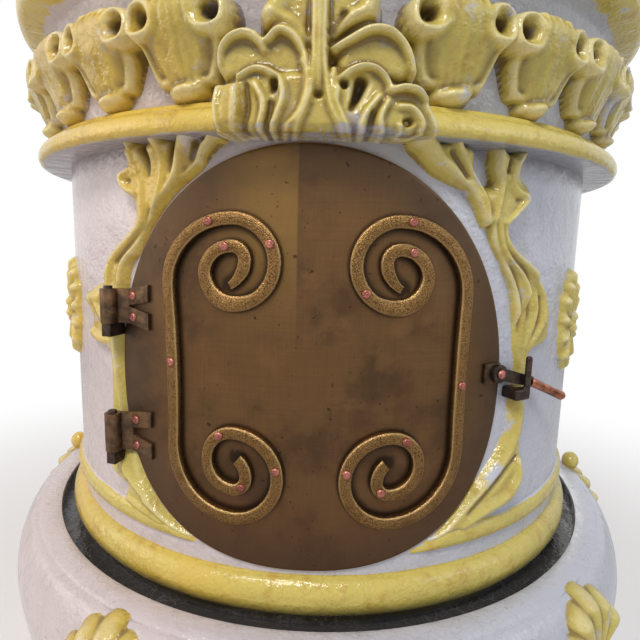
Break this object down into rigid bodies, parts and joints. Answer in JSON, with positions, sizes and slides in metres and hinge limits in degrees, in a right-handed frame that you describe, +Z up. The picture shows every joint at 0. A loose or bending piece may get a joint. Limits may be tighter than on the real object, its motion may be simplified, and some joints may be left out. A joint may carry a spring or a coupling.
{
  "type": "tiled stove",
  "caption": "Round column stove of glazed earthenware rings with leaf moulding, a hinged brass fire door with riveted scrolls and a lift latch, a fireclay chamber inside and a flue spigot.",
  "frame": {"origin": "on the floor under the stove's axis", "axes": "+Z up, -Y straight out of the middle of the door, +X to the right for someone facing the door"},
  "size_m": [0.6359, 0.636, 1.198],
  "materials": {
    "white_glaze": "white tin glaze, finely crazed",
    "yellow_glaze": "ochre yellow glaze, pooled darker in the hollows",
    "fireclay": "rough fireclay",
    "door_brass": "sheet brass, browned by heat and rubbed bright at the edges",
    "forged_iron": "forged iron with a brown skin",
    "copper": "copper, hammered heads and rolled tube"
  },
  "bodies": {
    "stove": {"base_ring": "white_glaze", "base_shells": "yellow_glaze", "firebox_ring": "white_glaze", "moulding_ring": "yellow_glaze", "stalk_left": "yellow_glaze", "stalk_right": "yellow_glaze", "side_rosettes": "yellow_glaze", "hinge_pintle_lower": "forged_iron", "hinge_pintle_upper": "forged_iron", "latch_keeper": "forged_iron", "frieze_ring": "white_glaze", "acanthus_leaves": "yellow_glaze", "palmette": "yellow_glaze", "hearth_slab": "fireclay", "fireclay_lining": "fireclay", "firebox_crown": "fireclay", "upper_ring": "white_glaze", "flue_baffle": "fireclay", "flue_collar": "forged_iron", "cornice_ring": "white_glaze", "cover_slab": "white_glaze", "cover_knob": "yellow_glaze"},
    "door": {"door_plate": "door_brass", "door_scroll_left": "door_brass", "door_scroll_right": "door_brass", "scroll_rivets": "copper", "door_heat_shield": "forged_iron", "shield_spacers": "forged_iron", "hinge_strap_lower": "forged_iron", "hinge_strap_upper": "forged_iron", "hinge_rivets": "copper", "latch_plate": "door_brass", "latch_rivet": "copper"},
    "latch": {"latch_lever": "forged_iron", "latch_grip": "copper"}
  },
  "joints": [
    {"name": "door_hinge", "type": "hinge", "parent": "stove", "child": "door", "pos_m": [-0.13885, -0.22395, 0.459], "axis": [0, 0, -1], "range_deg": [0, 135]},
    {"name": "latch_pivot", "type": "hinge", "parent": "door", "child": "latch", "pos_m": [0.13125, -0.22096, 0.464], "axis": [0.5107, -0.8598, 0], "range_deg": [0, 60]}
  ]
}
